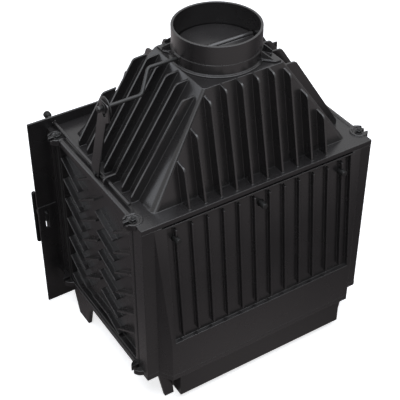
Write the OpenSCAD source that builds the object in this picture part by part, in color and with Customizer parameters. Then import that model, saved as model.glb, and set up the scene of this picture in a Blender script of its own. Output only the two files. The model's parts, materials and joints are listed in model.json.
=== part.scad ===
// Cast iron fireplace insert: a firebox of bolted castings with a finned hood,
// a round flue collar with a damper, a front plate with a glazed door, and an
// ash drawer under the hearth. Millimetres. X runs across the front, the front
// faces -Y, Z is up from the floor, and the origin is under the middle of the
// whole object. Lengths along Y are worked out from the flue's axis.

/* [Body] */
// Half width of the base plate
base_half = 303; // [300:1:308]
// Height of the legs under the base plate
leg_h = 82.5; // [70:0.5:110]
// Thickness of the base plate
base_t = 14.5; // [12:0.5:20]
// Height of the side and back panels
panel_h = 426; // [400:1:480]
// Thickness of the hood's flange
flange_t = 12; // [10:0.5:16]
// Height of the sloping hood above its flange
hood_h = 231; // [200:1:270]
// Distance of the firebox front from the flue axis
front_reach = 250; // [245:1:290]
// Distance of the rear corners from the flue axis
rear_reach = 187.4; // [186:0.2:200]
// Distance of the bulged back panel from the flue axis
bulge_reach = 218; // [212:1:226]

/* [Flue] */
// Outer diameter of the flue collar
collar_d = 196; // [190:1:200]
// Wall of the flue collar
collar_wall = 5.5; // [5:0.5:8]
// Height of the collar above the hood
collar_h = 71; // [60:1:100]
// Height of the damper shaft above the hood
damper_z = 18; // [16:1:22]
// Gap between the damper plate and the collar
damper_gap = 2.5; // [2:0.5:6]
// Thickness of the damper plate
damper_t = 4; // [3:0.5:5]
// Diameter of the damper shaft and its crank
shaft_d = 8; // [7:0.5:9]
// Reach of the crank pin from the shaft's axis
crank_r = 49; // [46:1:52]

/* [Ribs and fins] */
// Pitch of the ribs and fins
rib_pitch = 40; // [36:1:42]
// Thickness of a fin or rib
fin_t = 5; // [4:0.5:7]
// Depth of the back panel's rib field
field_depth = 10; // [8:1:12]
// Depth of the side panels' slanted ribs
side_rib = 14; // [10:1:14]
// Reach of the hood's side fins above their feet, measured level
side_fin = 25.5; // [22:0.5:28]
// Reach of the hood's front and rear fins at their feet
end_fin = 27.9; // [22:0.1:30]

/* [Front] */
// Reach of the front plate past the base plate on each side
plate_over = 47; // [42:1:60]
// Rise of the front plate above the hood's flange
plate_rise = 25; // [16:1:60]
// Thickness of the front plate
plate_t = 5; // [4:0.5:7]
// Width of the posts beside the fire opening
post_w = 33; // [30:1:50]
// Thickness of the door frame
door_t = 22; // [18:1:26]
// Width of the door frame's bars
door_bar = 52; // [44:1:60]
// Thickness of the glass
glass_t = 4; // [3:0.5:5]
// Length of the handle's grip
grip_len = 160; // [140:1:180]
// Diameter of the handle's grip
grip_d = 12; // [10:0.5:14]
// Diameter of the tie rods
tie_d = 8; // [7:0.5:9]
// Diameter of the damper's control rod
rod_d = 8; // [7:0.5:9]

/* [Ash drawer] */
// Distance of the box under the hearth from the base plate's sides
box_inset = 71; // [67:1:80]
// Height of the box's floor above the ground
box_floor = 19; // [14:1:24]
// Wall of the box and of the drawer
sheet = 3; // [2:0.5:4]
// Gap round the drawer in its box
drawer_gap = 4; // [3:0.5:6]

/* [Clearances] */
// Radial clearance of a turning shaft in its bore
run_gap = 0.05; // [0.03:0.01:0.1]
// Gap between flat faces of parts that move on each other
slide_gap = 0.5; // [0.3:0.1:0.8]
// Radial clearance of a bolt or rod in its hole
bolt_gap = 0.4; // [0.2:0.1:0.6]

/* [Hidden] */
$fn = 64;
eps = 0.01;
iron = "#3b3a39";
black = "#161616";
steel = "#56585a";
glass = "#20201f";

// Levels above the floor
base_z = leg_h + base_t;
flange_z = base_z + panel_h;
hood_z = flange_z + flange_t;
table_z = hood_z + hood_h;
rim_z = table_z + collar_h;
shaft_z = table_z + damper_z;

// The hood's foot and the flat table at its top
foot_x = base_half - 47.8;
foot_front = 51.2 - front_reach;
foot_rear = rear_reach - 36.3;
table_x = collar_d / 2 + 3.3;
table_front = 4.3 - collar_d / 2;
table_rear = collar_d / 2 + 9;
hip_foot_r = 14;
hip_top_r = 7;
hood_wall = 7;

// Front of the object
plate_w = 2 * (base_half + plate_over);
fire_w = 2 * (base_half - post_w);
box_half = base_half - box_inset;
plate_back = -front_reach;
plate_face = plate_back - plate_t;
plate_foot = 6;
plate_top = hood_z + plate_rise;
seal_t = 3;
door_back = plate_face - seal_t;
door_face = door_back - door_t;

// Panels
panel_plane = base_half - 17;
side_wall = 6;
rib_top = panel_plane + side_rib;
flange_half = base_half - 0.5;
tie_x = base_half - 5;
tie_front = 42 - front_reach;
tie_rear = rear_reach - 42.4;
groove_half = 5;
corner_x = base_half - 30.2;
bulge_x = base_half - 49.3;
post_d = 34;
lug_r = 21.5;

// Bottom and top of the fire opening
fire_foot = base_z + 15;
fire_head = flange_z - 18;

// Latch, handle and control rod
rod_x = base_half - 19;
rod_z = hood_z + 10;
rod_rear = 108;
knob_y = plate_back - 34;
latch_x = plate_w / 2 - 21.5;
latch_z = base_z + 178;
pivot_y = plate_face - 17;
grip_x = plate_w / 2 - 11.7;
grip_y = pivot_y - 23;
grip_z = latch_z - 102;
pin_r = 4;

// Middle of the whole object along Y, from the flue axis
front_most = grip_y - grip_d / 2;
shift_y = -(front_most + bulge_reach) / 2;

module place() translate([0, shift_y, 0]) children();
module both_sides() { children(); mirror([1, 0, 0]) children(); }

// A flat outline drawn in Y and Z, made t thick about the plane X = x
module plate_x(x, t) translate([x - t / 2, 0, 0]) rotate([90, 0, 90]) linear_extrude(t) children();
// A flat outline drawn in X and Z, made t thick about the plane Y = y
module plate_y(y, t) translate([0, y + t / 2, 0]) rotate([90, 0, 0]) linear_extrude(t) children();
module rod_along_x(r, x0, x1) translate([x0, 0, 0]) rotate([0, 90, 0]) cylinder(r = r, h = x1 - x0);
module rod_along_y(r, y0, y1) translate([0, y0, 0]) rotate([-90, 0, 0]) cylinder(r = r, h = y1 - y0);
module block(x0, x1, y0, y1, z0, z1) translate([x0, y0, z0]) cube([x1 - x0, y1 - y0, z1 - z0]);
// A nut or bolt head, af across its flats
module hex(af, h) cylinder(d = af / cos(30), h = h, $fn = 6);

function unit(v) = v / norm(v);
// The arc that rounds corner b of an outline between a and c
function round_corner(a, b, c, r, n = 5) =
    let (u = unit(a - b), v = unit(c - b), half = acos(u * v) / 2,
         mid = b + unit(u + v) * r / sin(half),
         s = b + u * r / tan(half) - mid, e = b + v * r / tan(half) - mid,
         a0 = atan2(s.y, s.x), turn = (atan2(e.y, e.x) - a0 + 540) % 360 - 180)
    [for (i = [0:n]) mid + r * [cos(a0 + turn * i / n), sin(a0 + turn * i / n)]];

// How far up the hood a height lies, from 0 to 1
function rise(z) = (z - hood_z) / hood_h;
// Height of the hip at a distance from the middle
function hip_over_x(x) = hood_z + hood_h * (foot_x - abs(x)) / (foot_x - table_x);

module base_lug(z0, z1) {
    both_sides() for (y = [tie_front, tie_rear]) translate([tie_x, y, z0]) cylinder(r = lug_r, h = z1 - z0);
}
// The slot that lets a tie rod in from the side
module lug_slots(z0, z1) {
    both_sides() for (y = [tie_front, tie_rear]) translate([tie_x, y, z0 - 1]) {
        cylinder(r = tie_d / 2 + bolt_gap, h = z1 - z0 + 2);
        translate([0, -tie_d / 2 - bolt_gap, 0]) cube([lug_r + 1, tie_d + 2 * bolt_gap, z1 - z0 + 2]);
    }
}
// The raised rim round a tie rod's lug, open to the outside
module lug_rims(z0, z1) {
    rim_wall = 5;
    both_sides() for (y = [tie_front, tie_rear]) translate([tie_x, y, z0]) difference() {
        cylinder(r = lug_r, h = z1 - z0);
        translate([0, 0, -1]) cylinder(r = lug_r - rim_wall, h = z1 - z0 + 2);
        translate([0, -lug_r / 2, -1]) cube([lug_r + 1, lug_r, z1 - z0 + 2]);
    }
}

grate_inset = 153;
grate_half = [base_half - grate_inset, 100];
grate_rim = 20;
grate_y = -45;
grate_seat = 7;
grate_lip = 10;

module base_plate() color(iron) place() difference() {
    union() {
        translate([0, 0, leg_h]) linear_extrude(base_t) polygon([
            [-base_half, plate_back], [base_half, plate_back], [base_half, rear_reach],
            [corner_x, rear_reach], [bulge_x, bulge_reach], [-bulge_x, bulge_reach],
            [-corner_x, rear_reach], [-base_half, rear_reach]]);
        base_lug(leg_h, base_z);
    }
    lug_slots(leg_h, base_z);
    block(-grate_half.x, grate_half.x, grate_y - grate_half.y, grate_y + grate_half.y,
        base_z - grate_seat, base_z + 1);
    block(grate_lip - grate_half.x, grate_half.x - grate_lip, grate_y - grate_half.y + grate_lip,
        grate_y + grate_half.y - grate_lip, leg_h - 1, base_z);
}

grate_t = 14;
bar_pitch = 20;
module grate() color(iron) place() translate([0, grate_y, base_z - grate_seat]) difference() {
    block(slide_gap - grate_half.x, grate_half.x - slide_gap, slide_gap - grate_half.y,
        grate_half.y - slide_gap, 0, grate_t);
    bars = floor((grate_half.x - bar_pitch) / bar_pitch);
    slot_len = grate_half.y - grate_rim;
    for (i = [-bars:bars]) for (s = [-1, 1])
        translate([(i - 0.25) * bar_pitch, s > 0 ? 6 : -6 - slot_len, -1])
            cube([bar_pitch / 2, slot_len, grate_t + 2]);
}

module air_box() color(iron) place() {
    rear = bulge_reach - 2;
    difference() {
        block(-box_half, box_half, plate_back, rear, box_floor, leg_h);
        block(sheet - box_half, box_half - sheet, plate_back - 1, rear - sheet, box_floor + sheet, leg_h + 1);
    }
}

leg_plate = 10;
leg_drop = 22;
leg_set = 54;
leg_width = 120;
leg_lean = 21.5;
leg_sole = 49.5;
leg_knee = 15;
leg_root = [plate_back + leg_set, plate_back + leg_set + leg_width];
leg_foot = [leg_root[0] + leg_lean, leg_root[0] + leg_lean + leg_sole];
module front_legs() color(iron) place() both_sides() {
    knee = [leg_foot[1] + leg_knee, leg_h - leg_drop];
    plate_x(base_half - 4 - leg_plate / 2, leg_plate) polygon(concat(
        [[leg_root[0], leg_h], [leg_root[0], leg_h - leg_drop], [leg_foot[0], 0], [leg_foot[1], 0]],
        round_corner([leg_foot[1], 0], knee, [leg_root[1], leg_h], 30), [[leg_root[1], leg_h]]));
}
module rear_legs() color(iron) place() both_sides() {
    plate_y(rear_reach - leg_plate / 2 - 2, leg_plate) polygon([
        [box_half + 1, 0], [box_half + 25, 0], [corner_x, leg_h], [box_half + 4, leg_h],
        [box_half + 4, leg_h / 2]]);
}

// Slanted ribs of a side panel, column by column: where a column starts and ends,
// the height of its lowest rib above the base plate, how far a rib climbs, and the count
rib_columns = [[-195, -115, 84.5, -48, 5], [-115, -35, 73.5, 56, 5],
    [-35, 45, 97.9, -31, 5], [45, 127, 32.4, 56, 6]];
rib_step = 60;
rail_h = 8;

module slanted_rib(y0, z0, y1, z1) {
    a = atan2(z1 - z0, y1 - y0);
    translate([panel_plane - 1, y0, z0]) rotate([a, 0, 0])
        translate([0, 0, -fin_t / 2]) cube([side_rib + 1, norm([y1 - y0, z1 - z0]), fin_t]);
}
module side_panel() {
    front_y = plate_back + post_d;
    rear_y = tie_rear + groove_half;
    block(panel_plane - side_wall, panel_plane, front_y, rear_y, base_z, flange_z);
    strip_front = front_y + 16;
    strip_rear = tie_rear - groove_half;
    block(panel_plane - 1, rib_top, strip_rear - 11, strip_rear, base_z, flange_z);
    block(panel_plane - 1, rib_top, strip_front, strip_front + 5, base_z, flange_z);
    for (z = [base_z, flange_z - rail_h])
        block(panel_plane - 1, rib_top, strip_front + 1, strip_rear - 1, z, z + rail_h);
    intersection() {
        block(panel_plane - 2, rib_top, strip_front + 2, strip_rear - 2, base_z, flange_z);
        translate([0, 0, base_z]) union() {
            for (c = rib_columns) for (k = [0:c[4] - 1])
                slanted_rib(c[0], c[2] + k * rib_step, c[1], c[2] + k * rib_step + c[3]);
            // Part ribs that the top and bottom rails cut short
            for (k = [-1, 5]) slanted_rib(-195, 84.5 + k * rib_step, -115, 36.5 + k * rib_step);
            slanted_rib(-115, 373.5, -35, 429.5);
            slanted_rib(-85, 34, -12, 34);
            slanted_rib(-12, 34, 45, 13);
        }
    }
}
module right_side_panel() color(iron) place() side_panel();
module left_side_panel() color(iron) place() mirror([1, 0, 0]) side_panel();

// The back panel's outer face: upright up to field_z, then leaning inwards
field_z = base_z + 103;
field_half = base_half - 60;
field_foot = field_z + 13;
field_head = flange_z - 15;
top_reach = rear_reach + 0.6;
back_wall = 8;
// Round-headed bolts in counterbores; the outer two stand on the outer ribs
bolt_z = flange_z - 44.5;
last_rib = floor(field_half / rib_pitch - 0.5) + 0.5;
bolt_x = [-last_rib * rib_pitch, 0, last_rib * rib_pitch];
bolt_r = 5;
bolt_head_r = 7.1;
bolt_sink = 3;
bolt_out = 8.5;
bolt_seat = back_face(bolt_z, field_depth) - bolt_sink;
module bolt_holes() for (x = bolt_x) translate([x, 0, bolt_z]) {
    rod_along_y(bolt_r + bolt_gap, foot_rear, bulge_reach + 20);
    rod_along_y(bolt_head_r + 1.3, bolt_seat, bulge_reach + 20);
}
function back_face(z, in) = (z <= field_z ? bulge_reach :
    bulge_reach - (z - field_z) * (bulge_reach - top_reach) / (flange_z - field_z)) - in;
// The slab that lies between two depths under the outer face
module back_slab(in0, in1, x0, x1, z0, z1) intersection() {
    plate_x((x0 + x1) / 2, x1 - x0) polygon([
        [back_face(base_z, in1), base_z], [back_face(base_z, in0), base_z],
        [back_face(field_z, in0), field_z], [back_face(flange_z, in0), flange_z],
        [back_face(flange_z, in1), flange_z], [back_face(field_z, in1), field_z]]);
    block(x0, x1, 0, bulge_reach, z0, z1);
}
module back_panel() color(iron) place() {
    wall_y = tie_rear + groove_half;
    lip = 12;
    low = field_z - lip;
    inner = back_wall + field_depth;
    lid_z = flange_z - 4;
    difference() {
        union() {
            difference() {
                back_slab(0, back_wall, -bulge_x, bulge_x, base_z, flange_z);
                block(-field_half, field_half, 0, bulge_reach + 1, low + lip + 1, field_head + 8);
            }
            difference() {
                back_slab(0, inner, -field_half - back_wall, field_half + back_wall, low, flange_z);
                back_slab(-1, field_depth, -field_half, field_half, low + lip + 1, field_head + 8);
            }
            // Upright ribs with chamfered heads
            intersection() {
                back_slab(0, field_depth + 1, -field_half, field_half, low, flange_z);
                for (i = [-last_rib:last_rib]) plate_x(i * rib_pitch, fin_t) polygon([
                    [rear_reach - 37, field_foot - 6], [bulge_reach + 22, field_foot + 4],
                    [bulge_reach + 22, field_head - 16], [rear_reach - 37, field_head + 4]]);
            }
        }
        block(-bulge_x - 8, bulge_x + 8, top_reach - 7, bulge_reach, lid_z, flange_z + 1);
        bolt_holes();
    }
    both_sides() {
        // Corner post and the strip beside the bulge
        block(panel_plane - side_wall, base_half - 1, wall_y, rear_reach, base_z, flange_z);
        block(corner_x - 10, panel_plane, rear_reach - back_wall - 6, rear_reach, base_z, flange_z);
        translate([0, 0, base_z]) linear_extrude(field_z - base_z) strip_outline(bulge_reach);
        hull() {
            translate([0, 0, field_z]) linear_extrude(eps) strip_outline(bulge_reach);
            translate([0, 0, flange_z - eps]) linear_extrude(eps) strip_outline(top_reach);
        }
    }
}
// The slanted strip between the bulge and a rear corner, seen from above
module strip_outline(reach) polygon([[bulge_x - 6, reach - back_wall], [bulge_x, reach],
    [corner_x, rear_reach], [corner_x - 10, rear_reach - 10]]);
module back_bolts() color(steel) place() for (x = bolt_x) translate([x, bolt_seat, bolt_z]) {
    rod_along_y(bolt_r, -back_wall - 12, 1);
    rod_along_y(bolt_head_r, 0.2, bolt_sink + field_depth + bolt_out);
}

module front_frame() color(iron) place() difference() {
    block(3 - base_half, base_half - 3, plate_back, plate_back + post_d, base_z, flange_z);
    block(-fire_w / 2, fire_w / 2, plate_back - 1, plate_back + post_d + 1, fire_foot, fire_head);
    both_sides() {
        block(base_half - 7, base_half, plate_back + 10, plate_back + post_d + 1, base_z - 1, flange_z + 1);
        block(base_half - 12, base_half, plate_back + 22, plate_back + post_d + 1, base_z - 1, flange_z + 1);
    }
}

// One upright fin of the hood: its outline lies in the distance from the axis and
// the height. s gives the slope, foot and head its reach at the two ends. The outer
// edge is upright as far as low above the flange, and the top edge falls by drop.
module fin_outline(s0, s1, foot, head, low, drop, end_z) {
    knee = [s0 + foot, hood_z + low];
    d1 = s0 + rise(end_z - drop) * (s1 - s0);
    d2 = s0 + rise(end_z) * (s1 - s0);
    polygon(concat([[s0 - 5, hood_z - 2], [knee.x, hood_z - 2], knee],
        round_corner(knee, [d1 + head, end_z - drop], [d2, end_z], 12),
        [[d2, end_z], [d2 - 5, end_z]]));
}
module end_fins(s0, s1) for (i = [-4.5:4.5]) {
    x = i * rib_pitch;
    end_z = min(table_z, hip_over_x(x) - 16);
    head = end_fin - 4 * rise(end_z);
    plate_x(x, fin_t) fin_outline(s0, s1, end_fin, head, 1, 4, end_z);
}
side_fin_y = [for (i = [-4:2]) 12 + i * rib_pitch];
fin_knee = 13;
module side_fins() for (y = side_fin_y) {
    hip_front = hood_z + hood_h * (y - foot_front) / (table_front - foot_front);
    end_z = min(table_z - 3, hip_front + 10, table_z + table_rear - y - 33);
    foot = side_fin - rise(hood_z + fin_knee) * (foot_x - table_x);
    plate_y(y, fin_t) fin_outline(foot_x, table_x, foot, side_fin + 3, fin_knee, 2, end_z);
}
// A four-sided hood form with rounded hips
module hood_form(in, z0, z1) hull() {
    for (x = [-1, 1]) {
        rf = hip_foot_r;
        rt = hip_top_r;
        for (e = [[foot_front + in + rf, z0], [foot_rear - in - rf, z0]])
            translate([x * (foot_x - in - rf), e[0], e[1]]) cylinder(r = rf, h = eps);
        for (e = [[table_front + in + rt, z1], [table_rear - in - rt, z1]])
            translate([x * (table_x - in - rt), e[0], e[1] - eps]) cylinder(r = rt, h = eps);
    }
}
lobe_r = 12;
module hood() color(iron) place() difference() {
    union() {
        difference() {
            union() {
                block(-flange_half, flange_half, plate_back, rear_reach, flange_z, hood_z);
                hood_form(0, hood_z, table_z);
                both_sides() translate([flange_half - 7, 0, hood_z - 4]) rod_along_y(7, tie_front, tie_rear);
            }
            hood_form(hood_wall, hood_z - 0.5, table_z - hood_wall);
            block(hood_wall - foot_x, foot_x - hood_wall, foot_front + hood_wall, foot_rear - hood_wall,
                flange_z - 1, hood_z);
            translate([0, 0, table_z - 20]) cylinder(d = collar_d - 2 * collar_wall, h = 30);
        }
        base_lug(flange_z, hood_z - 2);
        lug_rims(hood_z - 3, hood_z + 3);
        end_fins(foot_rear, table_rear);
        mirror([0, 1, 0]) end_fins(-foot_front, -table_front);
        both_sides() side_fins();
        // The lobe on one fin that carries the control rod
        plate_y(side_fin_y[4], fin_t) polygon(concat(
            [[foot_x - 4, hood_z - 1], [foot_x - 4, rod_z + lobe_r]],
            [for (a = [90:-15:0]) [rod_x + lobe_r * cos(a), rod_z + lobe_r * sin(a)]],
            [[rod_x + lobe_r, hood_z - 1]]));
    }
    lug_slots(flange_z, hood_z + 3);
    both_sides() for (y = [tie_front, tie_rear]) translate([tie_x, y, hood_z - 2]) cylinder(r = 14, h = 12);
    translate([rod_x, 0, rod_z]) rod_along_y(rod_d / 2 + bolt_gap, plate_back - 1, rod_rear + 4);
}

// One pair of webs with their foot plate, along the way out at angle a
module collar_lug(a) intersection() {
    r = collar_d / 2;
    block(5 - table_x, table_x - 5, table_front + 5, table_rear - 5, table_z, rim_z);
    rotate([0, 0, a]) translate([0, 5.6, 0]) union() {
        difference() {
            block(r - 8, r + 52, -20, 20, table_z, table_z + 4);
            block(r + 14, r + 19, -9, 9, table_z - 1, table_z + 5);
        }
        for (v = [-14.9, 14.9]) plate_y(v, 3) polygon([[r - 8, table_z + 3], [r - 8, table_z + 23],
            [r, table_z + 23], [r + 26, table_z + 6], [r + 26, table_z + 3]]);
    }
}
// What is turned off the collar's radius where a flue pipe slides on
turned_off = 0.8;
module flue_collar() color(iron) place() difference() {
    union() {
        translate([0, 0, table_z]) cylinder(d = collar_d, h = collar_h);
        translate([0, 0, table_z]) cylinder(d = collar_d + 2 * turned_off, h = shaft_z + 9 - table_z);
        translate([0, 0, table_z]) cylinder(d = collar_d + 11, h = 2.5);
        translate([0, 0, table_z]) cylinder(d = collar_d + 7, h = 5);
        for (a = [135, -45]) collar_lug(a);
        both_sides() block(collar_d / 2 - 14, collar_d / 2 + 3, -10, 10, table_z, shaft_z + 8);
    }
    translate([0, 0, table_z - 1]) cylinder(d = collar_d - 2 * collar_wall, h = collar_h + 2);
    translate([0, 0, shaft_z]) rod_along_x(shaft_d / 2 + run_gap, -collar_d / 2, collar_d / 2 + 12);
}

damper_r = collar_d / 2 - collar_wall - damper_gap;
boss_r = shaft_d / 2 + 4;
module damper_plate() color(iron) place() translate([0, 0, shaft_z]) difference() {
    union() {
        translate([0, 0, -damper_t / 2]) cylinder(r = damper_r, h = damper_t);
        intersection() {
            rod_along_x(boss_r, -damper_r, damper_r);
            cylinder(r = damper_r, h = 60, center = true);
        }
    }
    rod_along_x(shaft_d / 2 + run_gap, -damper_r - 1, damper_r + 1);
}

// The crank: out of the collar, down and back, and out again to the link. It is
// drawn flat, in the plane that its slanted stretch makes with the shaft.
crank_drop = crank_r * sin(45);
crank_x = [rod_x - 115, rod_x - 79];
crank_turn = atan2(crank_r, crank_x[1] - crank_x[0]);
elbow_r = 14;
elbow_len = elbow_r * tan(crank_turn / 2);
link_x = rod_x + 8;
link_t = 4;
crank_end = link_x + 17;
module elbow(x, y, start) translate([x, y, 0]) rotate([0, 0, start])
    rotate_extrude(angle = crank_turn) translate([elbow_r, 0]) circle(d = shaft_d);
// A straight stretch whose thinner core reaches into the elbows beside it
module stretch(x0, x1, reach0, reach1) {
    rod_along_x(shaft_d / 2, x0 + 0.02, x1 - 0.02);
    rod_along_x(shaft_d / 2 - 0.4, x0 - reach0, x1 + reach1);
}
module damper_shaft() color(steel) place() translate([0, 0, shaft_z]) rotate([-45, 0, 0]) {
    slant = norm([crank_x[1] - crank_x[0], crank_r]);
    stretch(1 - collar_d / 2, crank_x[0] - elbow_len, -1, 2);
    elbow(crank_x[0] - elbow_len, elbow_r, -90);
    translate([crank_x[0], 0, 0]) rotate([0, 0, crank_turn]) stretch(elbow_len, slant - elbow_len, 2, 2);
    elbow(crank_x[1] + elbow_len, crank_r - elbow_r, 90);
    translate([0, crank_r, 0]) stretch(crank_x[1] + elbow_len, crank_end, 2, -1);
}
module on_pin() place() translate([0, crank_drop, shaft_z - crank_drop]) children();
module washer(x, t, ro) difference() {
    rod_along_x(ro, x, x + t);
    rod_along_x(shaft_d / 2 + run_gap, x - 1, x + t + 1);
}
big_washer_t = 2.5;
small_washer_t = 1.5;
washer_out = link_x + link_t / 2 + slide_gap;
module crank_washers() color(steel) {
    on_pin() washer(link_x - link_t / 2 - slide_gap - big_washer_t, big_washer_t, 23);
    on_pin() washer(washer_out, small_washer_t, 12);
}

// The spring that presses the link: one wire, wound round the crank pin
wire_d = 1.3;
coil_r = 6.4;
coil_turns = 2;
coil_pitch = 2.2;
coil_rings = 8;
spring_len = coil_turns * coil_pitch + 2 * wire_d;
spring_path = concat([[0, 0]], [for (i = [0:coil_turns * coil_rings])
    [wire_d + i * coil_pitch / coil_rings, i * 360 / coil_rings]], [[spring_len, coil_turns * 360]]);
function on_coil(p) = [p[0], coil_r * cos(p[1]), coil_r * sin(p[1])];
function wire_ring(i, last) =
    let (p = spring_path[i], out = [0, cos(p[1]), sin(p[1])],
         ahead = i == 0 || i == last ? [1, 0, 0] :
             unit(on_coil(spring_path[i + 1]) - on_coil(spring_path[i - 1])),
         side = cross(ahead, out))
    [for (a = [0:60:300]) on_coil(p) + wire_d / 2 * (out * cos(a) + side * sin(a))];
module crank_spring() color(steel) on_pin() translate([washer_out + small_washer_t, 0, 0]) {
    last = len(spring_path) - 1;
    echo(least_gap_in_spring = coil_pitch - wire_d);
    polyhedron(points = [for (i = [0:last]) for (q = wire_ring(i, last)) q],
        faces = concat([[for (k = [0:5]) k]], [[for (k = [5:-1:0]) last * 6 + k]],
            [for (i = [0:last - 1]) for (k = [0:5]) [i * 6 + k, (i + 1) * 6 + k, i * 6 + (k + 1) % 6]],
            [for (i = [0:last - 1]) for (k = [0:5])
                [i * 6 + (k + 1) % 6, (i + 1) * 6 + k, (i + 1) * 6 + (k + 1) % 6]]));
}
module crank_nut() color(steel) on_pin() difference() {
    translate([washer_out + small_washer_t + spring_len, 0, 0]) rotate([0, 90, 0]) hex(13, 4.5);
    rod_along_x(shaft_d / 2 + run_gap, link_x, crank_end + 10);
}

// The flat link: a slotted head on the crank pin, its foot bolted to the rod
link_head = [crank_drop, shaft_z - crank_drop];
link_foot = [-26, rod_z];
slot_half_w = shaft_d / 2 + 2.2;
slot_drop = crank_r - crank_drop + 2;
module damper_link() color(iron) place() difference() {
    plate_x(link_x, link_t) difference() {
        polygon(concat([link_head + [-18.6, 3], link_foot + [-18.6, 8], link_foot + [-14, -4.5],
            link_foot + [12, -4.5], link_foot + [22.2, 36], link_head + [5.6, -35.4],
            link_head + [19, -27]],
            round_corner(link_head + [19, -27], link_head + [20, 14], link_head + [-14, 14], 9),
            round_corner(link_head + [20, 14], link_head + [-14, 14], link_head + [-18.6, 3], 5)));
        translate(link_head) circle(r = slot_half_w);
        translate(link_head - [0, slot_drop]) circle(r = slot_half_w);
        translate(link_head - [slot_half_w, slot_drop]) square([2 * slot_half_w, slot_drop]);
    }
    translate([0, link_foot.x, rod_z]) rod_along_x(2.5 + bolt_gap, link_x - 10, link_x + 10);
}
module link_bolt() color(steel) place() translate([0, link_foot.x, rod_z]) {
    rod_along_x(2.5, rod_x + 1, link_x + link_t / 2 + 1);
    translate([link_x + link_t / 2, 0, 0]) rotate([0, 90, 0]) hex(8, 3.5);
    difference() {
        rod_along_x(4.5, rod_x + rod_d / 2 - 0.6, link_x - link_t / 2);
        translate([rod_x, 0, 0]) rod_along_y(rod_d / 2 + 0.05, -20, 20);
    }
}
module control_rod() color(iron) place() difference() {
    translate([rod_x, 0, rod_z]) rod_along_y(rod_d / 2, knob_y, rod_rear);
    translate([0, link_foot.x, rod_z]) rod_along_x(2.5 + run_gap, rod_x, rod_x + 10);
}
module control_knob() color(black) place() translate([rod_x, knob_y, rod_z]) difference() {
    rotate([90, 0, 0]) rotate_extrude() polygon(concat([[0, -9], [5, -9]],
        round_corner([5, -9], [8.8, -4], [8.8, 7], 3),
        round_corner([8.8, -4], [8.8, 7], [0, 7], 3), [[0, 7]]));
    rod_along_y(rod_d / 2 + run_gap, 0, 12);
}

module tie_rods() color(steel) place() both_sides() for (y = [tie_front, tie_rear])
    translate([tie_x, y, leg_h - 9]) cylinder(d = tie_d, h = hood_z + 11 - leg_h + 9);
module tie_nuts() color(steel) place() both_sides() for (y = [tie_front, tie_rear])
    for (z = [leg_h - 7, hood_z - 2]) translate([tie_x, y, z]) difference() {
        union() {
            hex(13, 7);
            if (z > leg_h) cylinder(r = 9, h = 1.5);
        }
        translate([0, 0, -1]) cylinder(d = tie_d + 2 * run_gap, h = 9);
    }

drawer_half = box_half - 42;
drawer_foot = box_floor + sheet + slide_gap;
drawer_head = leg_h - drawer_gap - 2;
slot_half = 4.5;
module front_plate() color(iron) place() difference() {
    union() {
        plate_y(plate_back - plate_t / 2, plate_t) difference() {
            translate([-plate_w / 2, plate_foot]) square([plate_w, plate_top - plate_foot]);
            translate([-fire_w / 2, fire_foot]) square([fire_w, fire_head - fire_foot]);
            translate([-drawer_half - drawer_gap, drawer_foot - slide_gap])
                square([2 * (drawer_half + drawer_gap), drawer_head - drawer_foot + slide_gap + drawer_gap]);
        }
        // A thicker patch round the latch slot
        block(base_half - 1, plate_w / 2 - 1, plate_back - 1, plate_back + 1.5, latch_z - 32, latch_z + 41);
    }
    block(latch_x - slot_half, latch_x + slot_half, plate_face - 1, plate_back + 3,
        latch_z - 28, latch_z + 27);
    translate([rod_x, 0, rod_z]) rod_along_y(rod_d / 2 + bolt_gap, plate_face - 1, plate_back + 1);
    for (p = screw_places) translate([p.x, plate_back - 3, p.y]) rod_along_y(2.5 + bolt_gap, -10, 10);
}
screw_places = [for (x = [18 - base_half, base_half - 18]) for (z = [0, 0.5, 1])
    [x, fire_foot + 18 + z * (fire_head - fire_foot - 33)]];
module plate_screws() color(steel) place() for (p = screw_places) translate([p.x, plate_face, p.y]) {
    rod_along_y(2.5, -1, plate_t);
    rotate([90, 0, 0]) cylinder(r1 = 5, r2 = 3.5, h = 2.4);
}

door_foot = base_z - 5;
door_head = flange_z - 3;
door_in = [22, 30];
hinge_in = 12;
door_left = door_in.x - plate_w / 2;
door_right = plate_w / 2 - door_in.y;
hinge_x = hinge_in - plate_w / 2;
hinge_set = [73, 75];
hinge_z = [door_foot + hinge_set.x, door_head - hinge_set.y];
hinge_r = 7;
knuckle = 26;
bracket_h = 12;
module door_outline(in) translate([door_left + in, door_foot + in])
    square([door_right - door_left - 2 * in, door_head - door_foot - 2 * in]);

module hinge_brackets() color(iron) place() for (z = hinge_z) for (s = [-1, 1]) {
    z0 = s > 0 ? z + knuckle / 2 + slide_gap : z - knuckle / 2 - slide_gap - bracket_h;
    difference() {
        union() {
            translate([hinge_x, pivot_y, z0]) cylinder(r = hinge_r, h = bracket_h);
            block(hinge_x - hinge_r, hinge_x + hinge_r, pivot_y, plate_face, z0, z0 + bracket_h);
        }
        translate([hinge_x, pivot_y, z0 - 1]) cylinder(r = pin_r + run_gap, h = bracket_h + 2);
    }
}
module hinge_pins() color(steel) place() for (z = hinge_z) translate([hinge_x, pivot_y, z]) {
    translate([0, 0, -knuckle / 2 - bracket_h - 1])
        cylinder(r = pin_r, h = knuckle + 2 * bracket_h + 3);
    translate([0, 0, knuckle / 2 + slide_gap + bracket_h]) cylinder(r = pin_r + 2, h = 3);
}
glass_rebate = 6;
rebate_d = 8;
cheek = 12;
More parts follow.
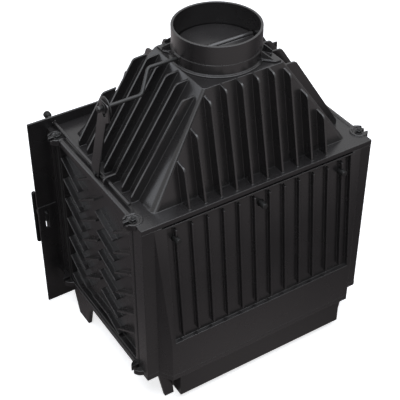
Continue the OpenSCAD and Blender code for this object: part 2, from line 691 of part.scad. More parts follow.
module door_frame() color(iron) place() difference() {
    union() {
        difference() {
            plate_y((door_back + door_face) / 2, door_t) door_outline(0);
            plate_y((door_back + door_face) / 2, door_t + 2) door_outline(door_bar);
            plate_y(door_back - rebate_d / 2, rebate_d + eps) door_outline(door_bar - glass_rebate);
            plate_y(door_back, 5) difference() { door_outline(8); door_outline(18); }
        }
        for (z = hinge_z) {
            translate([hinge_x, pivot_y, z - knuckle / 2]) cylinder(r = hinge_r, h = knuckle);
            block(hinge_x, door_left + 1, pivot_y - hinge_r, pivot_y + hinge_r,
                z - knuckle / 2, z + knuckle / 2);
        }
    }
    for (z = hinge_z) translate([hinge_x, pivot_y, z - knuckle])
        cylinder(r = pin_r + run_gap, h = 2 * knuckle);
    translate([0, pivot_y, latch_z]) rod_along_x(pin_r + run_gap, door_right - cheek - 1, door_right + 2);
    for (p = clip_places) translate([p.x, door_back, p.y]) rod_along_y(2 + bolt_gap, -12, 1);
}
clip_set = 128;
clip_places = [for (x = [door_left + clip_set, (door_left + door_right) / 2, door_right - clip_set])
    for (z = [door_foot + door_bar - 20, door_head - door_bar + 20]) [x, z]];
clip_t = 2;
clip_half = 8;
clip_reach = 22;
glass_y = door_back - rebate_d + glass_t / 2;
module door_glass() color(glass) place() plate_y(glass_y, glass_t) door_outline(door_bar - glass_rebate + 1);
module glass_clips() color(steel) place() for (p = clip_places) {
    // The lower clips reach up over the glass, the upper ones down
    turn = p.y < (door_foot + door_head) / 2 ? 0 : 1;
    translate([p.x, door_back, p.y]) mirror([0, 0, turn]) {
        difference() {
            block(-clip_half, clip_half, 0, clip_t, 1 - clip_half, clip_reach);
            rod_along_y(2 + bolt_gap, -5, 5);
        }
        block(-clip_half, clip_half, glass_y + glass_t / 2 - door_back, 0, clip_reach - 5, clip_reach);
    }
}
module glass_screws() color(steel) place() for (p = clip_places) translate([p.x, door_back, p.y]) {
    rod_along_y(2, -10, clip_t + 0.5);
    translate([0, clip_t, 0]) rod_along_y(3.5, 0, 1);
}
module door_seal() color("#2a2a2a") place() difference() {
    plate_y(door_back + 0.1, 4.8) door_outline(8.4);
    plate_y(door_back + 0.1, 6) door_outline(17.6);
}

module handle_pin() color(steel) place() translate([0, pivot_y, latch_z])
    rod_along_x(pin_r, door_right - cheek, grip_x + 3);
arm_x = [grip_x - 4.5, grip_x + 1.5];
module handle_arm() color(iron) place() difference() {
    union() {
        translate([0, pivot_y, latch_z]) rod_along_x(9, arm_x[0], arm_x[1]);
        block(arm_x[0], arm_x[1], grip_y, pivot_y, latch_z - 6, latch_z + 6);
    }
    translate([0, pivot_y, latch_z]) rod_along_x(pin_r + run_gap, arm_x[0] - 1, arm_x[1] + 1);
    translate([grip_x, grip_y, latch_z - 10]) cylinder(d = grip_d + 0.1, h = 20);
}
module handle_grip() color(black) place() translate([grip_x, grip_y, grip_z]) {
    r = grip_d / 2;
    translate([0, 0, r]) cylinder(r = r, h = grip_len - 2 * r);
    translate([0, 0, r]) sphere(r = r);
    translate([0, 0, grip_len - r]) sphere(r = r);
}
tongue_t = 5;
module latch_tongue() color(steel) place() difference() {
    union() {
        translate([0, pivot_y, latch_z]) rod_along_x(9, door_right + slide_gap, arm_x[0]);
        plate_x(latch_x, tongue_t) polygon([[pivot_y, latch_z - 9], [pivot_y + 8, latch_z - 11],
            [plate_back + 3, latch_z - 9], [plate_back + 3, latch_z + 16], [plate_back - 6, latch_z + 24],
            [pivot_y + 4, latch_z + 24], [pivot_y - 8, latch_z + 8]]);
    }
    translate([0, pivot_y, latch_z]) rod_along_x(pin_r + run_gap, door_right - 1, grip_x + 6);
}

liner_t = 8;
liner_h = 300;
liner_head = base_z + liner_h;
side_liner_x = panel_plane - 2 * liner_t;
liner_back_gap = 27.4;
rear_liner_t = 10;
rear_liner_y = [rear_reach - liner_back_gap - rear_liner_t, rear_reach - liner_back_gap];
baffle_t = 8;
liner_set = 55;
liner_front = plate_back + liner_set;
module side_liner() block(side_liner_x, side_liner_x + liner_t, liner_front, rear_liner_y[0] - 1,
    base_z, liner_head);
module right_liner() color(iron) place() side_liner();
module left_liner() color(iron) place() mirror([1, 0, 0]) side_liner();
module rear_liner() color(iron) place() difference() {
    block(-side_liner_x, side_liner_x, rear_liner_y[0], rear_liner_y[1], base_z, liner_head);
    // Upright grooves in its face
    for (i = [-5:5]) block(i * rib_pitch - liner_t / 2, i * rib_pitch + liner_t / 2,
        rear_liner_y[0] - 1, rear_liner_y[0] + rear_liner_t / 2, base_z + 20, liner_head - 20);
}
baffle_set = 140;
notch = [60, 15];
notch_in = 90;
module baffle_plate() color(iron) place() {
    front = plate_back + baffle_set;
    middle = side_liner_x - notch_in;
    difference() {
        block(-side_liner_x - liner_t, side_liner_x + liner_t, front, rear_liner_y[1],
            liner_head, liner_head + baffle_t);
        both_sides() block(middle - notch.x / 2, middle + notch.x / 2, front - 1, front + notch.y,
            liner_head - 1, liner_head + baffle_t + 1);
    }
}
guard_h = 45;
guard_t = 8;
guard_in = 12;
guard_foot = [12, 19];
foot_in = 38;
module log_guard() color(iron) place() {
    y = liner_front + 3;
    end = side_liner_x - guard_in;
    block(-end, end, y, y + guard_t, base_z, base_z + guard_h);
    for (x = [foot_in - end, 0, end - foot_in])
        block(x - guard_foot.x / 2, x + guard_foot.x / 2, y + guard_t,
            y + guard_t + guard_foot.y, base_z, base_z + 2 / 3 * guard_h);
}

drawer_in = 68;
drawer_back = bulge_reach - drawer_in;
pan_face = plate_face - slide_gap;
front_t = 6;
slider_t = 2;
slider_z = drawer_foot + 27.5;
slider_half = 16;
slot_w = 14;
slot_pitch = 32;
air_x = drawer_half - 85;
air_slots = [for (i = [0:2]) air_x + slot_pitch * i];
slider_y = pan_face - front_t - slider_t - slide_gap / 2;
module air_cuts() for (x = air_slots)
    block(x - slot_w / 2, x + slot_w / 2, pan_face - 20, pan_face + sheet + 1, slider_z - 10, slider_z + 10);
module ash_pan() color(iron) place() difference() {
    union() {
        difference() {
            block(-drawer_half, drawer_half, pan_face, drawer_back, drawer_foot, drawer_head);
            block(sheet - drawer_half, drawer_half - sheet, pan_face + sheet, drawer_back - sheet,
                drawer_foot + sheet, drawer_head + 1);
        }
        block(-drawer_half - 14, drawer_half + 14, pan_face - front_t, pan_face, plate_foot + 6, leg_h + 5);
        // Rails that hold the air slider
        for (d = [0, 1]) translate([0, 0, slider_z]) mirror([0, 0, d]) {
            edge = slider_half + slide_gap;
            lip_y = slider_y - slide_gap / 2;
            block(air_x - 27, drawer_half - 8, lip_y, pan_face - front_t + eps, edge, edge + 4);
            block(air_x - 27, drawer_half - 8, lip_y - 2, lip_y, edge - 3, edge + 4);
        }
    }
    air_cuts();
    translate([0, 0, slider_z]) rod_along_y(3 + bolt_gap, pan_face - front_t - 1, pan_face + sheet + 1);
}
module air_slider() color(steel) place() difference() {
    block(air_x - 9, drawer_half - 12, slider_y, slider_y + slider_t,
        slider_z - slider_half, slider_z + slider_half);
    air_cuts();
}
module air_slider_knob() color(black) place() translate([air_x + slot_pitch / 2, slider_y, slider_z])
    rotate([90, 0, 0]) rotate_extrude() polygon([[0, 0], [3, 0], [3, 5], [6, 7], [6, 12], [0, 12]]);
module ash_pan_knob() color(black) place() translate([0, pan_face - front_t, slider_z]) {
    rotate([90, 0, 0]) rotate_extrude()
        polygon([[0, 0], [5, 0], [5, 8], [11, 11], [11, 17], [9, 19], [0, 19]]);
    rod_along_y(3, -1, front_t + sheet);
}

base_plate();
air_box();
front_legs();
rear_legs();
right_side_panel();
left_side_panel();
back_panel();
back_bolts();
front_frame();
hood();
flue_collar();
tie_rods();
tie_nuts();
front_plate();
plate_screws();
hinge_brackets();
hinge_pins();
door_frame();
door_glass();
door_seal();
glass_clips();
glass_screws();
handle_pin();
handle_arm();
handle_grip();
latch_tongue();
damper_plate();
damper_shaft();
crank_washers();
crank_spring();
crank_nut();
damper_link();
link_bolt();
control_rod();
control_knob();
grate();
rear_liner();
right_liner();
left_liner();
baffle_plate();
log_guard();
ash_pan();
ash_pan_knob();
air_slider();
air_slider_knob();
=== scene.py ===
"""Looks of a cast iron fireplace insert: cast edges, paint, hardware, rope seal.

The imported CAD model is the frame. Each casting is a copy of its CAD mesh with
the rounded edges that a sand mould leaves. Nuts, bolts, knobs, the spring and
the door's rope are modelled here in the places that the CAD nodes hold.
"""

import json
import math

import bmesh
import bpy
from mathutils import Matrix, Vector
from mathutils.bvhtree import BVHTree


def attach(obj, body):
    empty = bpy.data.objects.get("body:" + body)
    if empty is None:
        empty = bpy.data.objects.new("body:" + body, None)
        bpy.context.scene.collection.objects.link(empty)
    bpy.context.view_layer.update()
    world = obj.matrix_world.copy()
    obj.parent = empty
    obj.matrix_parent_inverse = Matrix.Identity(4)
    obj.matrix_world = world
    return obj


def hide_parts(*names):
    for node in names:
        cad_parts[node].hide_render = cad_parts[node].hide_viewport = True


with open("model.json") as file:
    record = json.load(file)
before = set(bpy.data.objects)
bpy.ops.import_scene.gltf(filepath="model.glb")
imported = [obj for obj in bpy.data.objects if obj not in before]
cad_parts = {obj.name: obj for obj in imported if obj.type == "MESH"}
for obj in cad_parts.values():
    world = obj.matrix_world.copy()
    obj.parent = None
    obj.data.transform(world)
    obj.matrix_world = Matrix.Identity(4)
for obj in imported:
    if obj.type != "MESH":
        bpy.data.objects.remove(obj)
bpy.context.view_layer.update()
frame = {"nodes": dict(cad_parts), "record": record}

MM = 0.001
RECORD = frame["record"]
BODY_OF = {n: body for body, nodes in RECORD["behaviour"]["bodies"].items() for n in nodes}
SLOT_OF = {part["node"]: part["material_slot"] for part in RECORD["subparts"]}

# Places in millimetres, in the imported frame; the flue's axis is at FLUE_Y
FLUE_Y = 41.5
TIE_RODS = [(x, y) for x in (-298, 298) for y in (FLUE_Y - 208, FLUE_Y + 145)]
BACK_BOLTS = [(x, FLUE_Y + 179.13, 478.5) for x in (-220, 0, 220)]
PLATE_SCREWS = [(x, FLUE_Y - 255, z) for x in (-285, 285) for z in (130, 310, 490)]
GLASS_SCREWS = [(x, FLUE_Y - 258, z) for x in (-200, -4, 192) for z in (124, 488)]
HINGE_PINS = [(-338, FLUE_Y - 272, z) for z in (165, 445)]
SHAFT_Z = 784
CRANK_PIN = (FLUE_Y + 34.65, 749.35)
# Where each piece on the crank's pin starts
INNER_WASHER_X, OUTER_WASHER_X, SPRING_X, NUT_X = 287, 294.5, 296, 303
CONTROL_KNOB = (284, FLUE_Y - 284, 545)
ASH_PAN_KNOB = (0, FLUE_Y - 261.5, 50)
AIR_SLIDER_KNOB = (121, FLUE_Y - 263.75, 50)
GRIP_FOOT = (338.3, FLUE_Y - 295, 173)
DOOR_SEAL = (-4, FLUE_Y - 257.9, 306)

# The M8 thread's radius and pitch, and the width of its nuts across their flats
M8, M8_PITCH, M8_NUT = 4, 1.25, 13


# Materials

# A Mix node has sockets of one name for numbers and for colours, so those for
# colours are taken by their places
FACTOR, FIRST, SECOND, MIXED = 0, 6, 7, 2


def linear(colour):
    """The linear RGBA of an sRGB hex colour."""
    parts = [int(colour[i:i + 2], 16) / 255 for i in (1, 3, 5)]
    return [c / 12.92 if c <= 0.04045 else ((c + 0.055) / 1.055) ** 2.4 for c in parts] + [1.0]


def per_metre(millimetres):
    """A texture scale whose features are about this size."""
    return 1 / (millimetres * MM)


def add(tree, kind, links=None, **settings):
    """Adds a shader node. links gives each socket its value, or the output it takes."""
    made = tree.nodes.new(kind)
    for name, value in settings.items():
        setattr(made, name, value)
    for socket, value in (links or {}).items():
        if isinstance(value, bpy.types.NodeSocket):
            tree.links.new(value, made.inputs[socket])
        else:
            made.inputs[socket].default_value = value
    return made


def new_material(name):
    """An empty node material: the material, its tree and its Object coordinates."""
    material = bpy.data.materials.new(name)
    material.use_nodes = True
    tree = material.node_tree
    tree.nodes.clear()
    return material, tree, add(tree, "ShaderNodeTexCoord").outputs["Object"]


def finish_material(tree, **sockets):
    """Adds the shader and the output; a socket takes a value or an output."""
    shader = add(tree, "ShaderNodeBsdfPrincipled",
                 {name.replace("_", " "): value for name, value in sockets.items()})
    add(tree, "ShaderNodeOutputMaterial", {"Surface": shader.outputs["BSDF"]})


def wear_and_highlight_on_edges(tree, skin, edge_wear_and_highlight, radius, most):
    """The skin's colour, lighter on the edges within a radius: wear and a painted highlight."""
    rounded = add(tree, "ShaderNodeBevel", {"Radius": radius * MM}, samples=4)
    flat = add(tree, "ShaderNodeNewGeometry")
    # The two normals' cosine is 1 on a flat, and less towards the middle of an edge
    facing = add(tree, "ShaderNodeVectorMath", {
        0: rounded.outputs["Normal"], 1: flat.outputs["Normal"]}, operation="DOT_PRODUCT")
    edge = add(tree, "ShaderNodeMapRange", {
        "Value": facing.outputs["Value"], "From Min": 0.985, "From Max": 0.8,
        "To Min": 0.0, "To Max": most})
    colour = add(tree, "ShaderNodeMix", {
        FACTOR: edge.outputs[0], FIRST: skin.outputs[MIXED], SECOND: linear(edge_wear_and_highlight)},
        data_type="RGBA")
    return colour.outputs[MIXED]


def cast_finish(name, low, high, edge_wear_and_highlight, roughness, grain_depth):
    """A sand casting's skin: slow changes of tone, sand grain, and edges lighter as wear and as
    a painted highlight.
    """
    material, tree, where = new_material(name)
    cloud = add(tree, "ShaderNodeTexNoise", {
        "Vector": where, "Scale": per_metre(80), "Detail": 4.0}).outputs[0]
    # Sand grit is 0.3 mm and wouldn't show, so the grain is drawn about 2 mm wide
    grain = add(tree, "ShaderNodeTexNoise", {
        "Vector": where, "Scale": per_metre(2), "Detail": 3.0}).outputs[0]
    bump = add(tree, "ShaderNodeBump", {
        "Height": grain, "Strength": 0.6, "Distance": grain_depth * MM})
    skin = add(tree, "ShaderNodeMix", {
        FACTOR: cloud, FIRST: linear(low), SECOND: linear(high)}, data_type="RGBA")
    spread = 0.03
    sheen = add(tree, "ShaderNodeMapRange", {
        "Value": cloud, "From Min": 0.3, "From Max": 0.7,
        "To Min": roughness - spread, "To Max": roughness + spread})
    finish_material(tree, Base_Color=wear_and_highlight_on_edges(tree, skin, edge_wear_and_highlight, radius=1.2, most=0.4),
                    Roughness=sheen.outputs[0], Specular_IOR_Level=0.6, Normal=bump.outputs[0])
    return material


def sheet_finish():
    """Black stove paint sprayed on folded sheet steel: smoother than a casting,
    with the low ripple that painters call orange peel."""
    material, tree, where = new_material("stove_paint_on_sheet_steel")
    ripple = add(tree, "ShaderNodeTexNoise", {
        "Vector": where, "Scale": per_metre(6), "Detail": 1.0}).outputs[0]
    cloud = add(tree, "ShaderNodeTexNoise", {
        "Vector": where, "Scale": per_metre(120), "Detail": 2.0}).outputs[0]
    bump = add(tree, "ShaderNodeBump", {
        "Height": ripple, "Strength": 0.4, "Distance": 0.08 * MM})
    paint = add(tree, "ShaderNodeMix", {
        FACTOR: cloud, FIRST: linear("#171616"), SECOND: linear("#1e1d1d")}, data_type="RGBA")
    # The edges turn lighter: worn paint and a painted highlight
    finish_material(tree, Base_Color=wear_and_highlight_on_edges(tree, paint, "#5a5a5a", radius=0.8, most=0.35),
                    Roughness=0.32, Normal=bump.outputs[0])
    return material


def steel_finish():
    """Phosphated and oiled steel: near black, hardly metallic, with fine turning marks."""
    material, tree, where = new_material("phosphated_steel")
    marks = add(tree, "ShaderNodeTexNoise", {
        "Vector": where, "Scale": per_metre(0.8), "Detail": 2.0}).outputs[0]
    blotch = add(tree, "ShaderNodeTexNoise", {
        "Vector": where, "Scale": per_metre(9), "Detail": 3.0}).outputs[0]
    bump = add(tree, "ShaderNodeBump", {
        "Height": marks, "Strength": 0.3, "Distance": 0.04 * MM})
    skin = add(tree, "ShaderNodeMix", {
        FACTOR: blotch, FIRST: linear("#1c1c1c"), SECOND: linear("#2b2b2a")}, data_type="RGBA")
    # The edges turn lighter: worn steel and a painted highlight
    finish_material(tree, Base_Color=wear_and_highlight_on_edges(tree, skin, "#6a6a68", radius=0.4, most=0.3),
                    Metallic=0.1, Roughness=0.4, Specular_IOR_Level=0.4,
                    Normal=bump.outputs[0])
    return material


def enamel_finish():
    """Satin black enamel on turned knobs and the grip: the darkest part, softly glossy."""
    material, tree, where = new_material("satin_black_enamel")
    cloud = add(tree, "ShaderNodeTexNoise", {
        "Vector": where, "Scale": per_metre(14), "Detail": 2.0}).outputs[0]
    skin = add(tree, "ShaderNodeMix", {
        FACTOR: cloud, FIRST: linear("#0e0e0e"), SECOND: linear("#151515")}, data_type="RGBA")
    finish_material(tree, Base_Color=skin.outputs[MIXED], Roughness=0.45,
                    Specular_IOR_Level=0.2)
    return material


def glass_finish():
    """Glass ceramic: clear, faintly amber in its thickness, with a haze of soot low down."""
    material, tree, where = new_material("glass_ceramic")
    height = add(tree, "ShaderNodeSeparateXYZ", {"Vector": where}).outputs["Z"]
    haze = add(tree, "ShaderNodeMapRange", {
        "Value": height, "From Min": 0.14, "From Max": 0.36, "To Min": 0.12, "To Max": 0.03})
    finish_material(tree, Base_Color=linear("#d3cbc2"), Roughness=haze.outputs[0], IOR=1.53,
                    Transmission_Weight=1.0)
    return material


def rope_finish():
    """Braided glass-fibre rope: charcoal yarns that cross at 45 degrees, 2.4 mm apart."""
    material, tree, where = new_material("braided_glass_fibre_rope")
    turned_ways = [add(tree, "ShaderNodeMapping", {
        "Vector": where, "Rotation": (0, math.radians(a), 0)}).outputs[0] for a in (45, -45)]
    # A wave texture repeats every 2 pi / 20 units of its scaled axis
    yarns = [add(tree, "ShaderNodeTexWave", {
        "Vector": way, "Scale": per_metre(2.4) * math.pi / 10, "Distortion": 0.6,
        "Detail": 1.0}).outputs["Fac"] for way in turned_ways]
    braid = add(tree, "ShaderNodeMath", {0: yarns[0], 1: yarns[1]},
                operation="MAXIMUM").outputs[0]
    bump = add(tree, "ShaderNodeBump", {
        "Height": braid, "Strength": 0.9, "Distance": 0.5 * MM})
    yarn = add(tree, "ShaderNodeMix", {
        FACTOR: braid, FIRST: linear("#1b1a19"), SECOND: linear("#5a5753")}, data_type="RGBA")
    finish_material(tree, Base_Color=yarn.outputs[MIXED], Roughness=0.95, Sheen_Weight=0.3,
                    Normal=bump.outputs[0])
    return material


SLOT_MATERIAL = {
    # Silicone stove paint sprayed on sand-cast iron: satin near-black, with the edges lighter
    # where it lies thin and where a highlight is painted
    "stove_paint": cast_finish("stove_paint_on_cast_iron", low="#1e1d1d", high="#272525",
                               edge_wear_and_highlight="#6c6c6c", roughness=0.27, grain_depth=0.02),
    # Bare grey iron after some fires: brown-black with ash in its pores, edges lighter as wear
    # and a painted highlight
    "fire_iron": cast_finish("fired_bare_cast_iron", low="#2a2521", high="#4b4640",
                             edge_wear_and_highlight="#6d6861", roughness=0.78, grain_depth=0.25),
    "sheet_paint": sheet_finish(),
    "dark_steel": steel_finish(),
    "black_grip": enamel_finish(),
    "stove_glass": glass_finish(),
    "rope_seal": rope_finish(),
}


# Pieces made from the CAD meshes

# Edges that turn more than CORNER are rounded, and those under FLAT are no edges at all
CORNER, FLAT = math.radians(28), math.radians(0.5)
# Where a rail of the hood's flange runs into the rims round its lugs, and how far
# round such a place the edges stay sharp
RAIL_ENDS = [(Vector((x, FLUE_Y + y, 537)) * MM, 11) for x in (-295, 295) for y in (-187, 127)]


def place_piece(bm, name, node, smooth=35):
    """Makes a mesh object that replaces the CAD node, in its body and its slot. Edges
    that turn more than smooth, in degrees, stay sharp."""
    mesh = bpy.data.meshes.new(name)
    bm.to_mesh(mesh)
    bm.free()
    mesh.shade_smooth()
    mesh.set_sharp_from_angle(angle=math.radians(smooth))
    piece = bpy.data.objects.new(name, mesh)
    bpy.context.scene.collection.objects.link(piece)
    piece.data.materials.append(SLOT_MATERIAL[SLOT_OF[node]])
    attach(piece, BODY_OF[node])
    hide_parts(node)
    return piece


def round_edges(bm, radius, spared=()):
    """Rounds the corners by a radius in millimetres, except near the spared places,
    each of which has its reach."""
    sharp = [e for e in bm.edges if e.is_manifold and e.calc_face_angle() > CORNER
             and all((v.co - place).length > reach * MM
                     for v in e.verts for place, reach in spared)]
    bmesh.ops.bevel(bm, geom=sharp, offset=radius * MM, offset_type="OFFSET", segments=2,
                    affect="EDGES", profile=0.5, material=-1, clamp_overlap=False,
                    loop_slide=False)


def rounded_safely(bm, radius, trials=4, spare_reach=5):
    """A rounded copy of bm. Where rounding throws a point off the surface, in a narrow
    corner, the edges near it stay sharp."""
    skin, spared = BVHTree.FromBMesh(bm), list(RAIL_ENDS)
    # A rounded corner's own points stay this close to the skin
    close = 0.85 * radius * MM
    for trial in range(trials):
        made = bm.copy()
        round_edges(made, radius, spared)
        thrown = [(v.co.copy(), spare_reach) for v in made.verts
                  if skin.find_nearest(v.co)[3] > close]
        if not thrown or trial == trials - 1:
            return made
        spared += thrown
        made.free()


def rounded_copy(node, radius, ending):
    """A copy of a CAD node with the edges that its making leaves."""
    bm = bmesh.new()
    bm.from_mesh(frame["nodes"][node].data)
    bmesh.ops.remove_doubles(bm, verts=bm.verts, dist=0.02 * MM)
    bmesh.ops.dissolve_degenerate(bm, edges=bm.edges, dist=0.02 * MM)
    flat = [e for e in bm.edges if e.is_manifold and e.calc_face_angle() < FLAT]
    bmesh.ops.beautify_fill(bm, faces=bm.faces, edges=flat, method="AREA")
    piece = place_piece(rounded_safely(bm, radius), f"{node}_{ending}", node)
    bm.free()
    weigh = piece.modifiers.new("flat faces", "WEIGHTED_NORMAL")
    weigh.keep_sharp = True


# The radius of each casting's edges in millimetres
CASTINGS = {
    "base_plate": 1.2, "front_legs": 1.2, "rear_legs": 1.2, "right_side_panel": 0.9,
    "left_side_panel": 0.9, "back_panel": 0.9, "front_frame": 1.0, "hood": 0.9,
    "flue_collar": 0.8, "front_plate": 0.8, "hinge_brackets": 1.0, "door_frame": 1.2,
    "handle_arm": 0.8, "damper_plate": 0.8, "damper_link": 0.7, "grate": 1.0,
    "rear_liner": 1.0, "right_liner": 1.0, "left_liner": 1.0, "baffle_plate": 1.2,
    "log_guard": 1.2}
# Folded sheet, bar, wire rod and ground glass have smaller radii
WORKED = {
    "air_box": 0.6, "ash_pan": 0.6, "glass_clips": 0.3, "latch_tongue": 0.5,
    "air_slider": 0.3, "door_glass": 0.5, "handle_pin": 0.5, "control_rod": 0.6,
    "link_bolt": 0.3}
for pieces, ending in ((CASTINGS, "cast"), (WORKED, "dressed")):
    for node, edge_radius in pieces.items():
        rounded_copy(node, edge_radius, ending)


# Pieces modelled here. Their outlines and paths are in millimetres

# A nut's flat face is this share of its width, and its chamfer slopes from there
NUT_FACE, NUT_SLOPE = 0.95, math.radians(30)


def turned(outline, segments=32, closed=False):
    """A turned piece: an outline of radii and heights, spun about Z."""
    bm = bmesh.new()
    points = [bm.verts.new((r * MM, 0, z * MM)) for r, z in outline]
    lines = [bm.edges.new(ends) for ends in zip(points, points[1:])]
    if closed:
        lines.append(bm.edges.new((points[-1], points[0])))
    bmesh.ops.spin(bm, geom=points + lines, cent=(0, 0, 0), axis=(0, 0, 1), angle=math.tau,
                   steps=segments, use_merge=True)
    bmesh.ops.remove_doubles(bm, verts=bm.verts, dist=0.01 * MM)
    bmesh.ops.recalc_face_normals(bm, faces=bm.faces)
    return bm


def close_ends(bm):
    """Fills the open ends of a spun or bridged skin and turns its faces outwards."""
    bmesh.ops.holes_fill(bm, edges=[e for e in bm.edges if e.is_boundary])
    bmesh.ops.recalc_face_normals(bm, faces=bm.faces)


def edges_of(verts):
    """Every edge that meets these points, once."""
    return list({e for v in verts for e in v.link_edges})


def make_hexagon(bm, across, chamfer=True):
    """Moves the turned edges at half this width out to a hexagon; a nut's are chamfered."""
    flat = across / 2 * MM
    middle = sum(v.co.z for v in bm.verts) / len(bm.verts)
    for v in bm.verts:
        radius = math.hypot(v.co.x, v.co.y)
        if abs(radius - flat) < 0.01 * flat:
            past_flat = math.atan2(v.co.y, v.co.x) % (math.pi / 3) - math.pi / 6
            out = flat / math.cos(past_flat)
            drop = (out - NUT_FACE * flat) * math.tan(NUT_SLOPE) if chamfer else 0
            v.co = (v.co.x * out / radius, v.co.y * out / radius,
                    v.co.z + (drop if v.co.z < middle else -drop))


def hexagon_nut(bore, thick):
    """An M8 nut with both faces chamfered and a countersunk bore, given by its radius."""
    half, sink = M8_NUT / 2, 0.5
    bm = turned([(bore, sink), (bore + sink, 0), (NUT_FACE * half, 0), (half, 0),
                 (half, thick), (NUT_FACE * half, thick), (bore + sink, thick),
                 (bore, thick - sink)], segments=48, closed=True)
    make_hexagon(bm, M8_NUT)
    return bm


def washer(bore, outer, thick):
    """A flat washer with broken edges, from its two radii."""
    bm = turned([(bore, 0), (outer, 0), (outer, thick), (bore, thick)],
                segments=48, closed=True)
    round_edges(bm, radius=0.3)
    return bm


def m8_thread(foot, head):
    """A threaded length between two heights: a V outline spun up its helix, cut flat."""
    bm = bmesh.new()
    # The V is 0.61 of the pitch deep and flat on its crest. The spin starts below
    # the foot and ends above the head, where the cuts then take the rest off
    root = M8 - 0.61 * M8_PITCH
    start = foot - 1.5 * M8_PITCH
    turns, steps = math.ceil((head - foot) / M8_PITCH) + 3, 24
    points = [bm.verts.new((r * MM, 0, (start + z * M8_PITCH) * MM))
              for r, z in ((root, 0), (M8, 0.42), (M8, 0.58), (root, 1))]
    lines = [bm.edges.new(ends) for ends in zip(points, points[1:])]
    bmesh.ops.spin(bm, geom=points + lines, cent=(0, 0, 0), axis=(0, 0, 1),
                   angle=math.tau * turns, steps=steps * turns,
                   dvec=(0, 0, M8_PITCH * MM / steps))
    bmesh.ops.remove_doubles(bm, verts=bm.verts, dist=0.01 * MM)
    for height, way in ((foot, -1), (head, 1)):
        bmesh.ops.bisect_plane(bm, geom=bm.verts[:] + bm.edges[:] + bm.faces[:],
                               dist=0.001 * MM, plane_co=(0, 0, height * MM),
                               plane_no=(0, 0, way), clear_outer=True)
    close_ends(bm)
    # The head is chamfered at 45 degrees, so that a nut finds its start
    tip = root - 0.3
    for v in bm.verts:
        reach, most = math.hypot(v.co.x, v.co.y), (tip + head) * MM - v.co.z
        if reach > most:
            v.co.x, v.co.y = v.co.x * most / reach, v.co.y * most / reach
    return bm


def socket_screw(outline, across, depth, head):
    """A turned screw whose outline ends with a hexagon socket in its head."""
    bm = turned(outline + [(across / 2 + 0.3, head), (across / 2, head - 0.2),
                           (across / 2, head - depth), (0, head - depth)], segments=24)
    make_hexagon(bm, across, chamfer=False)
    return bm


def swept(path, radius, segments=20):
    """A round bar along a path of points, closed at both ends."""
    bm = bmesh.new()
    rings = []
    for before, here, after in zip(path[:1] + path, path, path[1:] + path[-1:]):
        turn = (after - before).to_track_quat("Z", "Y").to_matrix().to_4x4()
        rings.append(bmesh.ops.create_circle(
            bm, segments=segments, radius=radius * MM,
            matrix=Matrix.Translation(here * MM) @ turn)["verts"])
    loops = [edges_of(ring) for ring in rings]
    for first, second in zip(loops, loops[1:]):
        bmesh.ops.bridge_loops(bm, edges=first + second)
    close_ends(bm)
    return bm


UP = Matrix.Identity(4)
FORWARD = Matrix.Rotation(math.radians(90), 4, "X")
REARWARD = Matrix.Rotation(math.radians(-90), 4, "X")
RIGHTWARD = Matrix.Rotation(math.radians(90), 4, "Y")


def at(x, y, z, way=UP):
    """The move to a place in millimetres, with the piece's own Z turned that way."""
    return Matrix.Translation(Vector((x, y, z)) * MM) @ way


def on_crank_pin(x):
    """The move to a place along the crank's pin."""
    return at(x, *CRANK_PIN, RIGHTWARD)


def place_models(name, node, *models):
    """Makes one piece of models, each of which comes with the moves of its copies."""
    bm = bmesh.new()
    for model, moves in models:
        mesh = bpy.data.meshes.new("model")
        model.to_mesh(mesh)
        model.free()
        for move in moves:
            placed = mesh.copy()
            placed.transform(move)
            bm.from_mesh(placed)
            bpy.data.meshes.remove(placed)
        bpy.data.meshes.remove(mesh)
    place_piece(bm, name, node)


def make_tie_rods():
    """Drawn bars with a thread at each end, which laps the plain shank by 1 mm."""
    foot, lower, upper, head = 73.5, 84, 530, 546
    places = [at(*rod, 0) for rod in TIE_RODS]
    shank = turned([(0, lower), (3.9, lower), (3.9, upper), (0, upper)], segments=24)
    place_models("tie_rods_threaded", "tie_rods", (shank, places),
                 (m8_thread(foot, lower + 1), places), (m8_thread(upper - 1, head), places))


def make_tie_nuts():
    """A nut under each lower lug, and a thinner one on a washer on each upper lug."""
    lower_lug, upper_lug = 82.5, 533
    deep, shallow, flat = 7, 5.5, 1.5
    place_models("tie_nuts_chamfered", "tie_nuts",
                 (hexagon_nut(bore=4.1, thick=deep),
                  [at(*rod, lower_lug - deep) for rod in TIE_RODS]),
                 (hexagon_nut(bore=4.1, thick=shallow),
                  [at(*rod, upper_lug + flat) for rod in TIE_RODS]),
                 (washer(bore=4.2, outer=9, thick=flat),
                  [at(*rod, upper_lug) for rod in TIE_RODS]))


def make_damper_shaft():
    """The shaft, bent cold round a pin of 10 mm radius into its crank, with a thread
    at its end. It is drawn flat and then leans 45 degrees."""
    # The crank's throw, where its two elbows lie along the shaft, and the radius of
    # the bar's middle line in them
    throw, inner, outer, bend = 49, 169, 205, 14
    turn = math.atan2(throw, outer - inner)
    back = bend * math.tan(turn / 2)
    first, second = Vector((inner - back, bend)), Vector((outer + back, throw - bend))
    angles = [turn * i / 8 for i in range(9)]
    flat = [Vector((-97, 0))]
    flat += [first + bend * Vector((math.sin(a), -math.cos(a))) for a in angles]
    flat += [second + bend * Vector((-math.sin(a), math.cos(a))) for a in reversed(angles)]
    flat += [Vector((NUT_X, throw))]
    lean = math.sqrt(0.5)
    bar = swept([Vector((p.x, FLUE_Y + p.y * lean, SHAFT_Z - p.y * lean)) for p in flat], M8)
    round_edges(bar, radius=0.5)
    place_models("damper_shaft_bent", "damper_shaft", (bar, [UP]),
                 (m8_thread(foot=0, head=6.5), [on_crank_pin(NUT_X - 0.5)]))


